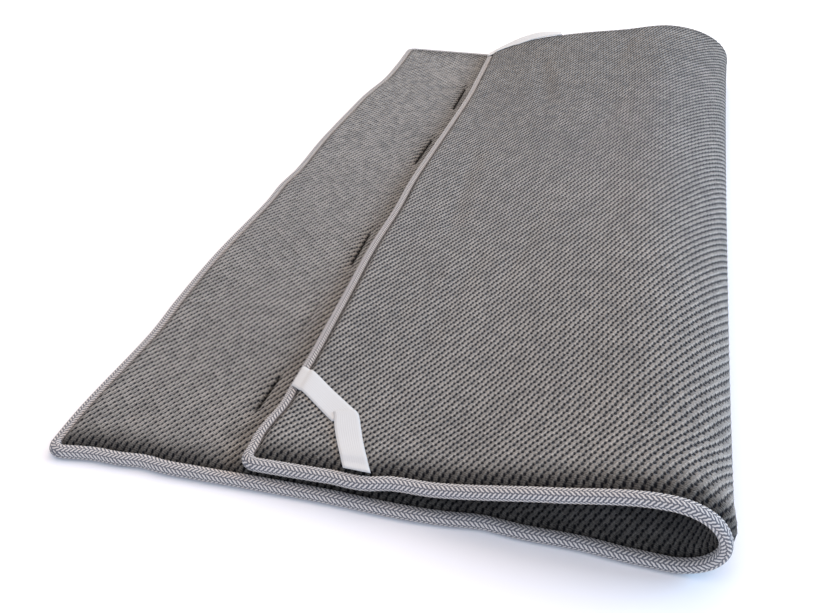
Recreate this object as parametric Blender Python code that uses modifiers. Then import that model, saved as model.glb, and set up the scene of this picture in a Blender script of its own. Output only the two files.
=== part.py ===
"""Mattress topper of thick spacer knit, folded once, with a bound edge and elastic corner straps.

The lower layer lies flat on its underside. The panel's other part is turned over it in one soft open loop, so
its underside faces up there, and so do the straps sewn across its two free corners. X runs across the fold,
from the lower layer's free edge to the loop, and Y along it, from the front to the back. Places in the tables
are measured from the lower layer's front corner, and ORIGIN, the middle of the footprint, is taken off last.
"""

import math
from collections import namedtuple

import bmesh
import bpy
from mathutils import Vector

# Driving dimensions, in metres.
PAD_LENGTH = 1.985
PAD_THICKNESS = 0.020
RIM_THICKNESS = 0.014
RIM_FLAT = 0.010
RIM_SWELL = 0.045
CORNER_RADIUS = 0.018
BINDING_HALF_HEIGHT = 0.0100
BINDING_REACH = 0.0096
BINDING_COVER = 0.008
BINDING_LIP_DROP = 0.0010
STRAP_THICKNESS = 0.0012
GAP = 0.0004
FLAP_REST_GAP = 0.0007
ORIGIN = Vector((0.470, 0.990, 0.0))

HALF = PAD_THICKNESS / 2
FLAP_EDGE_Z = PAD_THICKNESS + BINDING_HALF_HEIGHT + FLAP_REST_GAP

# Cross-sections of the fold, front to back, by the middle of the cloth. foot is where it leaves the floor, bend
# the loop's outermost point and crown its top. low, middle and high are the heights at a quarter, a half and
# three quarters of the way from the flap's free edge to the crown.
Section = namedtuple("Section", "depth foot bend bend_z crown crown_z high middle low")
SECTIONS = (
    Section(0.00, 0.875, 0.935, 0.055, 0.862, 0.112, 0.086, 0.055, 0.0395),
    Section(0.30, 0.877, 0.934, 0.056, 0.852, 0.117, 0.090, 0.059, 0.0410),
    Section(0.65, 0.879, 0.935, 0.058, 0.840, 0.122, 0.096, 0.066, 0.0440),
    Section(1.00, 0.882, 0.937, 0.060, 0.827, 0.128, 0.103, 0.075, 0.0500),
    Section(1.35, 0.886, 0.941, 0.061, 0.813, 0.133, 0.109, 0.084, 0.0560),
    Section(1.70, 0.890, 0.946, 0.061, 0.800, 0.138, 0.116, 0.093, 0.0630),
    Section(1.985, 0.892, 0.953, 0.060, 0.790, 0.142, 0.121, 0.100, 0.0690),
)

# Outlines of the panel's cut edges, each a row for a point of the wavy edge.
EdgePoint = namedtuple("EdgePoint", "along at")
LEFT_EDGE = (
    EdgePoint(0.00, -0.0060),
    EdgePoint(0.10, -0.0095),
    EdgePoint(0.30, -0.0040),
    EdgePoint(0.42, -0.0110),
    EdgePoint(0.59, -0.0155),
    EdgePoint(0.84, -0.0085),
    EdgePoint(0.93, -0.0120),
    EdgePoint(1.02, -0.0065),
    EdgePoint(1.21, -0.0115),
    EdgePoint(1.43, -0.0075),
    EdgePoint(1.55, -0.0035),
    EdgePoint(1.69, 0.0110),
    EdgePoint(1.83, 0.0110),
    EdgePoint(1.985, 0.0040),
)
FLAP_EDGE = (
    EdgePoint(0.00, 0.286),
    EdgePoint(0.15, 0.293),
    EdgePoint(0.38, 0.289),
    EdgePoint(0.67, 0.279),
    EdgePoint(0.83, 0.281),
    EdgePoint(0.98, 0.276),
    EdgePoint(1.22, 0.280),
    EdgePoint(1.54, 0.286),
    EdgePoint(1.71, 0.281),
    EdgePoint(1.985, 0.271),
)
FRONT_EDGE = (
    EdgePoint(0.00, -0.008),
    EdgePoint(0.08, -0.001),
    EdgePoint(0.22, 0.002),
    EdgePoint(0.40, 0.0045),
    EdgePoint(0.52, 0.002),
    EdgePoint(0.585, 0.005),
    EdgePoint(0.63, 0.011),
    EdgePoint(0.68, 0.007),
    EdgePoint(0.76, 0.007),
    EdgePoint(0.82, 0.002),
    EdgePoint(0.90, -0.001),
)
BACK_EDGE_BULGE = 0.003
FLAP_FRONT_SET_BACK = 0.018
FLAP_BACK_SET_BACK = 0.030
EDGE_FADE = 0.30

# Soft troughs in the cloth, each a row from its start to its end. Those of the lower layer dent its top only.
Crease = namedtuple("Crease", "x y end_x end_y deep half_width")
LOWER_CREASES = (
    Crease(0.250, 0.13, 0.254, 0.25, 0.0030, 0.020),
    Crease(0.241, 0.34, 0.239, 0.48, 0.0025, 0.020),
    Crease(0.252, 0.60, 0.247, 0.76, 0.0045, 0.020),
    Crease(0.248, 1.10, 0.252, 1.28, 0.0045, 0.020),
    Crease(0.256, 1.48, 0.251, 1.67, 0.0045, 0.020),
)
FLAP_CREASES = (
    Crease(0.470, 0.34, 0.500, 0.62, 0.0020, 0.040),
    Crease(0.420, 0.76, 0.398, 1.10, 0.0030, 0.040),
    Crease(0.520, 1.42, 0.460, 1.76, 0.0035, 0.040),
)

# Steps of the panel's grid: rings of faces by the edges, and steps in each stretch between them.
RIM_RINGS = (0.0, 0.006, 0.012, CORNER_RADIUS, RIM_SWELL)
LOWER_SPAN = 0.884
FLAP_SPAN = 0.560
LOWER_COLUMNS = (0.10, 0.16, 0.21, 0.23, 0.25, 0.27, 0.29, 0.34, 0.44, 0.54, 0.64, 0.74, 0.82)
FOOT_STEPS = 5
SHOULDER_STEPS = 8
FLAP_STEPS = 13
LENGTH_STEPS = 21
BINDING_ARC_STEPS = 5

# The straps, each row a line across the band from its near edge to its far one. near_rise and far_rise are how
# far the band stands clear of the flap at each.
Rung = namedtuple("Rung", "near_x near_y far_x far_y near_rise far_rise")
FRONT_STRAP = (
    Rung(0.289, 0.200, 0.294, 0.246, 0.0, 0.0),
    Rung(0.307, 0.187, 0.313, 0.231, 0.0, 0.0),
    Rung(0.389, 0.119, 0.421, 0.139, 0.0, 0.0),
    Rung(0.437, 0.015, 0.476, 0.015, 0.0, 0.0),
)
BACK_STRAP = (
    Rung(0.265, 1.902, 0.264, 1.939, 0.0, 0.0),
    Rung(0.296, 1.905, 0.294, 1.942, 0.001, 0.002),
    Rung(0.340, 1.925, 0.334, 1.962, 0.005, 0.010),
    Rung(0.392, 1.941, 0.384, 1.978, 0.007, 0.013),
    Rung(0.440, 1.950, 0.433, 1.986, 0.005, 0.008),
    Rung(0.482, 1.953, 0.472, 1.989, 0.0006, 0.0),
)
STRAP_ROWS_PER_RUNG = 4
STRAP_COLUMNS = 3

PAD_GREY = (0.115, 0.112, 0.110, 1.0)
TAPE_GREY = (0.42, 0.40, 0.38, 1.0)
ELASTIC_WHITE = (0.80, 0.78, 0.76, 1.0)


def clear_scene():
    for item in list(bpy.data.objects):
        bpy.data.objects.remove(item, do_unlink=True)


def make_collection(name):
    made = bpy.data.collections.new(name)
    bpy.context.scene.collection.children.link(made)
    return made


def make_material(name, colour, roughness):
    material = bpy.data.materials.new(name)
    material.use_nodes = True
    shader = material.node_tree.nodes["Principled BSDF"]
    shader.inputs["Base Color"].default_value = colour
    shader.inputs["Roughness"].default_value = roughness
    shader.inputs["Metallic"].default_value = 0.0
    return material


def mesh_object(name, bm, material, collection):
    """The bmesh as a named object in the collection, moved to stand over the origin."""
    bmesh.ops.translate(bm, verts=bm.verts, vec=-ORIGIN)
    mesh = bpy.data.meshes.new(name)
    bm.to_mesh(mesh)
    bm.free()
    mesh.materials.append(material)
    mesh.shade_smooth()
    made = bpy.data.objects.new(name, mesh)
    collection.objects.link(made)
    return made


def add_solidify(made, thickness, offset):
    solid = made.modifiers.new("Thickness", "SOLIDIFY")
    solid.thickness = thickness
    solid.offset = offset
    return solid


def smooth_step(value):
    value = min(max(value, 0.0), 1.0)
    return value * value * (3.0 - 2.0 * value)


def through(knots, values, place, last_slope=None):
    """A smooth curve through the values at the knots, read at one place, level past its ends."""
    if place <= knots[0]:
        return values[0]
    if place >= knots[-1]:
        return values[-1]
    last = len(knots) - 1
    at = max(i for i in range(last) if knots[i] <= place)

    def slope(i):
        if i == last and last_slope is not None:
            return last_slope
        before, after = max(i - 1, 0), min(i + 1, last)
        return (values[after] - values[before]) / (knots[after] - knots[before])

    span = knots[at + 1] - knots[at]
    t = (place - knots[at]) / span
    start = values[at] * (1 + 2 * t) * (1 - t) ** 2 + slope(at) * span * t * (1 - t) ** 2
    end = values[at + 1] * t * t * (3 - 2 * t) - slope(at + 1) * span * t * t * (1 - t)
    return start + end


def edge_at(points, along):
    return through([point.along for point in points], [point.at for point in points], along)


def section_at(depth):
    depths = [row.depth for row in SECTIONS]
    columns = zip(*SECTIONS)
    return Section(*[through(depths, column, depth) for column in columns])


def flap_height(section, part):
    """Height of the cloth's middle at part of the way from the flap's free edge, 0, to the crown, 1."""
    heights = (FLAP_EDGE_Z, section.low, section.middle, section.high, section.crown_z)
    return through((0.0, 0.25, 0.5, 0.75, 1.0), heights, part, last_slope=0.0)


def crease_depth(creases, x, y):
    """How deep the creases dent the cloth at a place: round-bottomed, fading out at both ends."""
    deepest = 0.0
    for crease in creases:
        start = Vector((crease.x, crease.y))
        run = Vector((crease.end_x, crease.end_y)) - start
        along = (Vector((x, y)) - start).dot(run) / run.length_squared
        nearest = start + run * min(max(along, 0.0), 1.0)
        away = (Vector((x, y)) - nearest).length / crease.half_width
        deepest = max(deepest, crease.deep * (1.0 - smooth_step(away)))
    return deepest


def edge_shift(front, back, depth):
    """How far a row of the cloth is moved along Y, so that its front and back edges lie where they do."""
    near_front = 1 - smooth_step(depth / EDGE_FADE)
    near_back = 1 - smooth_step((PAD_LENGTH - depth) / EDGE_FADE)
    return front * near_front + back * near_back


def cloth_point(turn, depth):
    """The middle of the cloth, as x, y, z and the dent in its top.

    turn is 0 to 1 on the lower layer, 1 to 2 round the foot, 2 to 3 over the shoulder and 3 to 4 on the flap.
    """
    section = section_at(depth)
    left, flap = edge_at(LEFT_EDGE, depth), edge_at(FLAP_EDGE, depth)
    if turn <= 1.0:
        x = left + (section.foot - left) * turn
        dent = crease_depth(LOWER_CREASES, x, depth)
        shift = edge_shift(edge_at(FRONT_EDGE, x), BACK_EDGE_BULGE, depth)
        return Vector((x, depth + shift, HALF - dent / 2)), dent
    if turn <= 2.0:
        angle = (turn - 1.0) * math.pi / 2
        x = section.foot + (section.bend - section.foot) * math.sin(angle)
        z = HALF + (section.bend_z - HALF) * (1 - math.cos(angle))
        shift = edge_shift(edge_at(FRONT_EDGE, section.foot), BACK_EDGE_BULGE, depth)
        return Vector((x, depth + shift, z)), 0.0
    if turn <= 3.0:
        angle = (turn - 2.0) * math.pi / 2
        x = section.crown + (section.bend - section.crown) * math.cos(angle)
        z = section.bend_z + (section.crown_z - section.bend_z) * math.sin(angle)
        shift = edge_shift(edge_at(FRONT_EDGE, section.foot), BACK_EDGE_BULGE, depth)
        return Vector((x, depth + shift, z)), 0.0
    part = 4.0 - turn
    x = flap + (section.crown - flap) * part
    z = flap_height(section, part) - crease_depth(FLAP_CREASES, x, depth)
    front = edge_at(FRONT_EDGE, section.foot) * part + FLAP_FRONT_SET_BACK * (1 - part)
    back = BACK_EDGE_BULGE * part - FLAP_BACK_SET_BACK * (1 - part)
    return Vector((x, depth + edge_shift(front, back, depth), z)), 0.0


def round_corner(across, along):
    """Moves a point near a square corner so that the corner is round. Both distances are from the cut edges."""
    if across >= CORNER_RADIUS or along >= CORNER_RADIUS:
        return across, along
    p = 1 - across / CORNER_RADIUS
    q = 1 - along / CORNER_RADIUS
    round_p = p * math.sqrt(1 - q * q / 2)
    round_q = q * math.sqrt(1 - p * p / 2)
    return CORNER_RADIUS * (1 - round_p), CORNER_RADIUS * (1 - round_q)


def grid_columns():
    """The grid's columns, left edge to flap edge, as (turn, distance from the nearest side edge)."""
    columns = [(ring / LOWER_SPAN, ring) for ring in RIM_RINGS]
    columns += [(x / LOWER_SPAN, x) for x in LOWER_COLUMNS]
    columns += [(1 + i / FOOT_STEPS, LOWER_SPAN) for i in range(FOOT_STEPS)]
    columns += [(2 + i / SHOULDER_STEPS, LOWER_SPAN) for i in range(SHOULDER_STEPS)]
    last = 1 - RIM_SWELL / FLAP_SPAN
    columns += [(3 + last * i / FLAP_STEPS, FLAP_SPAN) for i in range(FLAP_STEPS)]
    columns += [(4 - ring / FLAP_SPAN, ring) for ring in reversed(RIM_RINGS)]
    return columns


def grid_rows():
    """The grid's rows, front to back, as distances from the front edge."""
    inner = PAD_LENGTH - 2 * RIM_SWELL
    rows = list(RIM_RINGS)
    rows += [RIM_SWELL + inner * i / LENGTH_STEPS for i in range(1, LENGTH_STEPS)]
    rows += [PAD_LENGTH - ring for ring in reversed(RIM_RINGS)]
    return rows


def place_on_cloth(turn, from_side, depth):
    """A grid point on the folded cloth, with the cloth's thickness there. The panel's corners are rounded."""
    from_end = min(depth, PAD_LENGTH - depth)
    across, along = round_corner(from_side, from_end)
    if turn < 1.0:
        turn += (across - from_side) / LOWER_SPAN
    elif turn > 3.0:
        turn -= (across - from_side) / FLAP_SPAN
    depth += (along - from_end) * (1 if depth < PAD_LENGTH / 2 else -1)
    point, dent = cloth_point(turn, depth)
    inside = smooth_step((min(from_side, from_end) - RIM_FLAT) / (RIM_SWELL - RIM_FLAT))
    thickness = RIM_THICKNESS + (PAD_THICKNESS - RIM_THICKNESS) * inside - dent
    return point, thickness


def build_sheet():
    """The folded panel's middle surface as a bmesh grid, and the thickness at each point."""
    columns, rows = grid_columns(), grid_rows()
    bm = bmesh.new()
    bmesh.ops.create_grid(bm, x_segments=len(columns) - 1, y_segments=len(rows) - 1, size=0.5)
    bm.verts.ensure_lookup_table()
    thicknesses = []
    for vert in bm.verts:
        column = round((vert.co.x + 0.5) * (len(columns) - 1))
        row = round((vert.co.y + 0.5) * (len(rows) - 1))
        vert.co, thickness = place_on_cloth(*columns[column], rows[row])
        thicknesses.append(thickness)
    bm.normal_update()
    return bm, thicknesses


def border_of(bm):
    """The sheet's border vertices in order, as (point, outward direction, up direction), once round.

    The walk goes the way the faces turn, so that the cloth is always on its left.
    """
    edge = next(edge for edge in bm.edges if edge.is_boundary)
    start, vert = edge.link_loops[0].vert, edge.link_loops[0].link_loop_next.vert
    ring = [start]
    while vert is not start:
        ring.append(vert)
        edge = next(other for other in vert.link_edges if other.is_boundary and other is not edge)
        vert = edge.other_vert(vert)
    stations = []
    for i, vert in enumerate(ring):
        ahead = (ring[(i + 1) % len(ring)].co - vert.co).normalized()
        behind = (vert.co - ring[i - 1].co).normalized()
        outward = (ahead + behind).cross(vert.normal).normalized()
        stations.append((vert.co.copy(), outward, vert.normal.copy()))
    return stations


def binding_profile():
    """The tape's cross-section round the panel's edge, as (outward, up): a round back and two short lips."""
    lip_up = RIM_THICKNESS / 2 + GAP
    points = [(-BINDING_COVER, lip_up), (-BINDING_COVER, BINDING_HALF_HEIGHT - BINDING_LIP_DROP)]
    for i in range(BINDING_ARC_STEPS + 1):
        angle = math.pi * (0.5 - i / BINDING_ARC_STEPS)
        points.append((BINDING_REACH * math.cos(angle), BINDING_HALF_HEIGHT * math.sin(angle)))
    points += [(-BINDING_COVER, BINDING_LIP_DROP - BINDING_HALF_HEIGHT), (-BINDING_COVER, -lip_up)]
    points += [(GAP, -lip_up), (GAP, lip_up)]
    return points


def build_binding(stations):
    """The tape as one closed ring: its cross-section carried along the panel's border."""
    profile = binding_profile()
    bm = bmesh.new()
    rings = []
    for point, outward, up in stations:
        rings.append([bm.verts.new(point + outward * out + up * rise) for out, rise in profile])
    for i, ring in enumerate(rings):
        following = rings[(i + 1) % len(rings)]
        for j in range(len(profile)):
            k = (j + 1) % len(profile)
            bm.faces.new((ring[j], ring[k], following[k], following[j]))
    bmesh.ops.recalc_face_normals(bm, faces=bm.faces)
    return bm


def strap_height(x, y):
    """Height of a strap's underside where it lies on the flap."""
    depth = min(max(y, 0.0), PAD_LENGTH)
    section = section_at(depth)
    flap = edge_at(FLAP_EDGE, depth)
    part = min(max((x - flap) / (section.crown - flap), 0.0), 1.0)
    return flap_height(section, part) + HALF + GAP


def build_strap(rungs):
    """A flat band as an open strip over the flap, its rungs joined by straight runs."""
    bm = bmesh.new()
    places = [i / STRAP_ROWS_PER_RUNG for i in range(STRAP_ROWS_PER_RUNG * (len(rungs) - 1) + 1)]
    knots = list(range(len(rungs)))
    rows = []
    for place in places:
        first = min(int(place), len(rungs) - 2)
        share = place - first
        edges = [a + (b - a) * share for a, b in zip(rungs[first][:4], rungs[first + 1][:4])]
        near_rise, far_rise = [through(knots, [rung[i] for rung in rungs], place) for i in (4, 5)]
        row = []
        for column in range(STRAP_COLUMNS):
            across = column / (STRAP_COLUMNS - 1)
            x = edges[0] + (edges[2] - edges[0]) * across
            y = edges[1] + (edges[3] - edges[1]) * across
            rise = near_rise + (far_rise - near_rise) * across
            row.append(bm.verts.new((x, y, strap_height(x, y) + rise)))
        rows.append(row)
    for row, following in zip(rows, rows[1:]):
        for i in range(STRAP_COLUMNS - 1):
            bm.faces.new((row[i], following[i], following[i + 1], row[i + 1]))
    return bm


def add_pad(collection):
    bm, thicknesses = build_sheet()
    stations = border_of(bm)
    pad = mesh_object("pad", bm, make_material("pad_spacer_knit", PAD_GREY, 0.9), collection)
    group = pad.vertex_groups.new(name="thickness")
    for index, thickness in enumerate(thicknesses):
        group.add([index], thickness / PAD_THICKNESS, "REPLACE")
    solid = add_solidify(pad, PAD_THICKNESS, 0.0)
    solid.vertex_group = group.name
    return stations


def main():
    clear_scene()
    topper = make_collection("mattress_topper")
    stations = add_pad(topper)
    tape = make_material("binding_herringbone_tape", TAPE_GREY, 0.85)
    elastic = make_material("strap_woven_elastic", ELASTIC_WHITE, 0.7)
    mesh_object("edge_binding", build_binding(stations), tape, topper)
    for name, rungs in (("front_corner_strap", FRONT_STRAP), ("back_corner_strap", BACK_STRAP)):
        strap = mesh_object(name, build_strap(rungs), elastic, topper)
        add_solidify(strap, STRAP_THICKNESS, 1.0)


main()
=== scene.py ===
"""Mattress topper of thick grey spacer knit, folded once, with its tape, corner straps and sewing.

Lengths are in metres, in the part's own frame: X runs across the fold, from the lower layer's free edge to
the loop, Y along it, from the front to the back, and Z up from the floor. Places in the tables are measured
from the lower layer's front corner, and ORIGIN, about the footprint's middle, is taken off last.
"""

import functools
import math
from collections import namedtuple

import bmesh
import bpy
import numpy as np
from bpy.props import FloatProperty, FloatVectorProperty, PointerProperty
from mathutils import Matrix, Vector, noise


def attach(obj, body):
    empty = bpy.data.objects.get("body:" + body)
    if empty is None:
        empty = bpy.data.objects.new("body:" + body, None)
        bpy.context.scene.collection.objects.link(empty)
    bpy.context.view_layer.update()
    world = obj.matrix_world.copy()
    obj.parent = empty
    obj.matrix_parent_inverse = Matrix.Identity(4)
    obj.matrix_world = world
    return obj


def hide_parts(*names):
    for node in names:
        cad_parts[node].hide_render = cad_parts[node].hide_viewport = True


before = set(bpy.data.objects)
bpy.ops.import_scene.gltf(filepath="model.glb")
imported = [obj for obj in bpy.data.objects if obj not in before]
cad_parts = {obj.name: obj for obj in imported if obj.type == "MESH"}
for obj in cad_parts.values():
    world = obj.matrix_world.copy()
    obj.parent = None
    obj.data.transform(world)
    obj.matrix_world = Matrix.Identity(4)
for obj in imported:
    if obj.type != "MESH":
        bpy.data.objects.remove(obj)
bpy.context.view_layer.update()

bl_info = {
    "name": "Folded mattress topper",
    "version": (1, 0, 0),
    "blender": (4, 5, 0),
    "location": "3D View > Sidebar > Topper",
    "description": "Builds a folded spacer-knit mattress topper with its tape, straps, sewing and studio",
    "category": "Object",
}

# Sizes of the cloth, as the solids have them. Its width is the way round the fold.
PAD_LENGTH = 1.985
PAD_THICKNESS = 0.020
HALF = PAD_THICKNESS / 2
CORNER_RADIUS = 0.018
GAP = 0.0004

# From its cut edge inwards the panel is thin where the tape grips it, then its outer face swells to a crest
# and evens out. Under the flap the lower layer has no crest. The panel's middle sinks a little towards
# every edge, and droops at the back, where nothing holds it up.
RIM_HALF = 0.0044
RIM_FLAT = 0.0070
LEFT_CREST, SIDE_CREST, END_CREST = 0.0145, 0.0190, 0.0260
RIM_SWELL = 0.0750
CREST_RISE = 0.0034
CREST_FADE_FROM, CREST_FADE_TO = 0.220, 0.260
EDGE_SINK = 0.0008
BACK_DROOP = 0.0040
DROOP_SPAN = 0.060
FLAP_EDGE_Z = PAD_THICKNESS + HALF + 0.0007
ORIGIN = Vector((0.470, 0.990, 0.0))

# Cross-sections of the fold, front to back, by the middle of the cloth. foot is where it leaves the floor,
# bend the loop's outermost point and crown its top. low, middle and high are the heights at a quarter, a
# half and three quarters of the way from the flap's free edge to the crown.
Section = namedtuple("Section", "depth foot bend bend_z crown crown_z high middle low")
SECTIONS = (
    Section(0.00, 0.875, 0.9375, 0.055, 0.862, 0.112, 0.086, 0.055, 0.0395),
    Section(0.30, 0.877, 0.9365, 0.056, 0.852, 0.117, 0.090, 0.059, 0.0410),
    Section(0.65, 0.879, 0.9375, 0.058, 0.840, 0.122, 0.096, 0.066, 0.0440),
    Section(1.00, 0.882, 0.9395, 0.060, 0.827, 0.128, 0.103, 0.075, 0.0500),
    Section(1.35, 0.886, 0.9430, 0.061, 0.813, 0.133, 0.109, 0.084, 0.0560),
    Section(1.70, 0.890, 0.9480, 0.061, 0.800, 0.138, 0.116, 0.093, 0.0630),
    Section(1.85, 0.891, 0.9515, 0.0605, 0.795, 0.140, 0.119, 0.098, 0.0680),
    Section(1.985, 0.892, 0.9540, 0.060, 0.790, 0.142, 0.123, 0.105, 0.0785),
)

# Outlines of the panel's cut edges. Each point is a place along an edge and where the edge lies there. The
# wave is added to the flap's front edge.
LEFT_EDGE = (
    (0.00, -0.0060), (0.10, -0.0095), (0.30, -0.0040), (0.42, -0.0110), (0.59, -0.0155), (0.84, -0.0085),
    (0.93, -0.0120), (1.02, -0.0065), (1.21, -0.0115), (1.43, -0.0075), (1.55, -0.0035), (1.69, 0.0110),
    (1.83, 0.0110), (1.985, 0.0040),
)
FLAP_EDGE = (
    (0.00, 0.2885), (0.03, 0.2895), (0.065, 0.2880), (0.10, 0.2915), (0.14, 0.2970), (0.20, 0.2960),
    (0.28, 0.2955), (0.38, 0.2925), (0.48, 0.2890), (0.67, 0.2820), (0.83, 0.2835), (0.98, 0.2790),
    (1.14, 0.2810), (1.34, 0.2855), (1.54, 0.2880), (1.71, 0.2830), (1.985, 0.2745),
)
FRONT_EDGE = (
    (0.00, -0.0080), (0.06, 0.0010), (0.10, 0.0010), (0.137, 0.0050), (0.17, 0.0015), (0.22, 0.0020),
    (0.40, 0.0045), (0.52, 0.002), (0.585, 0.005), (0.63, 0.011), (0.68, 0.007), (0.76, 0.007),
    (0.82, 0.002), (0.90, -0.001),
)
FLAP_FRONT_WAVE = ((0.420, 0.000), (0.468, -0.004), (0.505, 0.003), (0.560, 0.000))
BACK_EDGE_BULGE = 0.003
FLAP_FRONT_SET_BACK = 0.018
FLAP_BACK_SET_BACK = 0.030
EDGE_FADE = 0.30

# Soft troughs in the cloth, each a row from its start to its end. Those of the lower layer dent its top
# only, and its pinches are sharp ones beside the flap, darkened with painted shade.
Crease = namedtuple("Crease", "x y end_x end_y deep half_width")
LOWER_CREASES = (
    Crease(0.250, 0.13, 0.254, 0.25, 0.0030, 0.020),
    Crease(0.241, 0.34, 0.239, 0.48, 0.0025, 0.020),
    Crease(0.252, 0.60, 0.247, 0.76, 0.0045, 0.020),
    Crease(0.248, 1.10, 0.252, 1.28, 0.0045, 0.020),
    Crease(0.256, 1.48, 0.251, 1.67, 0.0045, 0.020),
)
PINCHES = (
    Crease(0.251, 0.15, 0.253, 0.24, 0.0080, 0.0060),
    Crease(0.241, 0.37, 0.240, 0.46, 0.0040, 0.0060),
    Crease(0.251, 0.62, 0.248, 0.75, 0.0090, 0.0060),
    Crease(0.248, 1.12, 0.251, 1.27, 0.0090, 0.0065),
    Crease(0.255, 1.50, 0.252, 1.66, 0.0090, 0.0070),
)
PINCH_DEPTH = 0.0080
FLAP_CREASES = (
    Crease(0.470, 0.34, 0.500, 0.62, 0.0025, 0.035),
    Crease(0.420, 0.76, 0.398, 1.10, 0.0036, 0.035),
    Crease(0.520, 1.42, 0.460, 1.76, 0.0042, 0.035),
    Crease(0.640, 1.10, 0.700, 1.38, 0.0018, 0.030),
    Crease(0.560, 0.50, 0.590, 0.72, 0.0018, 0.022),
    Crease(0.400, 0.42, 0.440, 0.56, 0.0020, 0.022),
    Crease(0.660, 1.62, 0.690, 1.86, 0.0026, 0.028),
)
SURFACE_WAVE = 0.0006
SURFACE_WAVE_SPAN = 0.11

# Steps of the panel's grid. Its rings lie by the edges, and the fine columns where the narrow creases are.
RIM_RINGS = (0.0, 0.003, 0.006, 0.009, 0.012, 0.015, CORNER_RADIUS, 0.022, 0.026, 0.030, 0.036, 0.043, 0.052)
RIM_RINGS += (0.063, RIM_SWELL)
LOWER_SPAN = 0.884
FLAP_SPAN = 0.560
COARSE_STEP = 0.0150
FINE_STEP = 0.0030
FINE_FROM, FINE_TO = 0.232, 0.268
FOOT_STEPS = 9
SHOULDER_STEPS = 12
FLAP_STEPS = 36
LENGTH_STEPS = 132

# The knit's lattice. Its columns lean across the panel, its grooves run slantwise from cell to cell, and
# the flap's outer face is stretched across, as the outside of a fold is.
GRAIN_LEAN = 0.05
GROOVE_SLANT = 0.62
OUTER_STRETCH = 1.085

# One cell of a groove, from its start to the next cell's: how far along it each row of points lies and how
# far to the side, both as shares of the cell, how deep the groove is and how wide, and how far its two
# banks are sunk.
GrooveRow = namedtuple("GrooveRow", "along aside deep half_width right left")
GROOVE = (
    GrooveRow(0.00, 0.000, 0.0013, 0.28, 0.0004, 0.0008),
    GrooveRow(0.25, -0.074, 0.0028, 0.32, 0.0000, 0.0007),
    GrooveRow(0.50, 0.000, 0.0008, 0.30, 0.0004, 0.0006),
    GrooveRow(0.75, 0.074, 0.0025, 0.28, 0.0000, 0.0007),
)
GROOVE_COLUMNS = 3
RIDGE_RISE = 0.0002

# Quads of the lattice whose doubled area on the flat cloth is under this are squashed ones past its edges.
MIN_QUAD = 1e-9

# Where the knit's grooves are modelled: on the lower layer's top as far as the flap, with the mouth of the
# loop, and on the flap's outer face down to the foot of the fold. The panel is sunk below them there.
TOP_COVER, MOUTH_COVER, MOUTH_DEPTH = 0.40, 1.02, 0.38
OUTER_COVER = 0.79
OUTER_SPLIT = 0.93
COVER_MARGIN = 0.030
COVER_SINK = 0.0029

# How dark the knit gets where less light reaches it, and where each shade starts and ends: from the tape at
# the panel's ends and at its sides, from the flap's edge, in the pinches as a share of their depth, and
# along the flap.
END_SHADE, END_SHADE_REACH = 0.84, 0.060
SIDE_SHADE, SIDE_SHADE_REACH = 0.80, 0.018
BESIDE_SHADE, BESIDE_SHADE_FROM, BESIDE_SHADE_TO = 0.24, 0.012, 0.072
PINCH_SHADE, PINCH_SHADE_FROM, PINCH_SHADE_TO = 0.96, 0.30, 0.68
BACK_SHADE, BACK_SHADE_FROM, BACK_SHADE_TO = 0.15, 0.90, 1.70

# The tape's cross-section from the panel's edge, as (outward, up): its top half's outer face, lip first. It
# is sewn at the point SEWN_AT, and its ends lap near TAPE_JOIN_X on the lower layer's front edge.
TAPE_LIP = ((-0.0092, 0.0049), (-0.0089, 0.0058), (-0.0080, 0.0069), (-0.0062, 0.0079), (-0.0035, 0.0085))
SEWN_AT = 2
TAPE_ROUND_STEPS = 14
TAPE_REACH = 0.0088
TAPE_HALF_HEIGHT = 0.0086
TAPE_WIDTH = 0.048
TAPE_CHANNEL = 0.0047
TAPE_JOIN_X, TAPE_JOIN_DEPTH = 0.630, 0.030
TAPE_JOIN_LAP = 0.030
TAPE_JOIN_SWELL = 0.0009
TAPE_ROLL = math.radians(7)
TAPE_ROLL_SPAN, TAPE_ROLL_LINE = 0.16, 3.7

# The tape's herringbone is modelled: RIB_ZONES zones of plump ribs about its middle. One rib, end to end,
# as its share of the way across a zone, of its full width and of its full rise. Its sides and its ends are
# painted darker, as the shade where the rib rounds down.
RIB_ZONES = 6
RibRow = namedtuple("RibRow", "across width rise")
RIB = (
    RibRow(-0.02, 0.45, 0.10),
    RibRow(0.24, 1.00, 1.00),
    RibRow(0.76, 1.00, 1.00),
    RibRow(1.02, 0.45, 0.10),
)
RIB_HALF_WIDTH = 0.43
RIB_RISE = 0.0006
RIB_SUNK = 0.0001
RIB_SIDE_LIGHT, RIB_END_LIGHT = 0.42, 0.80

# The front strap's two legs and the back strap, each row a line across the band from its near edge to its
# far one. near_rise and far_rise are how far the band stands clear of the flap at each.
Rung = namedtuple("Rung", "near_x near_y far_x far_y near_rise far_rise")
FRONT_STRAP_LEG = (
    Rung(0.2900, 0.1985, 0.2900, 0.2500, -0.0110, -0.0110),
    Rung(0.2930, 0.1950, 0.2935, 0.2470, -0.0032, -0.0032),
    Rung(0.3080, 0.1840, 0.3130, 0.2330, 0.0, 0.0),
    Rung(0.3480, 0.1510, 0.3600, 0.1930, 0.0, 0.0),
    Rung(0.3860, 0.1180, 0.4170, 0.1440, 0.0, 0.0),
)
FRONT_STRAP_FOOT = (
    Rung(0.3810, 0.1390, 0.4110, 0.1490, 0.0016, 0.0016),
    Rung(0.3850, 0.1310, 0.4210, 0.1370, 0.0017, 0.0017),
    Rung(0.3940, 0.1050, 0.4310, 0.1140, 0.0016, 0.0010),
    Rung(0.4140, 0.0620, 0.4520, 0.0650, 0.0006, 0.0006),
    Rung(0.4347, 0.0215, 0.4757, 0.0170, 0.0022, 0.0020),
)
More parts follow.
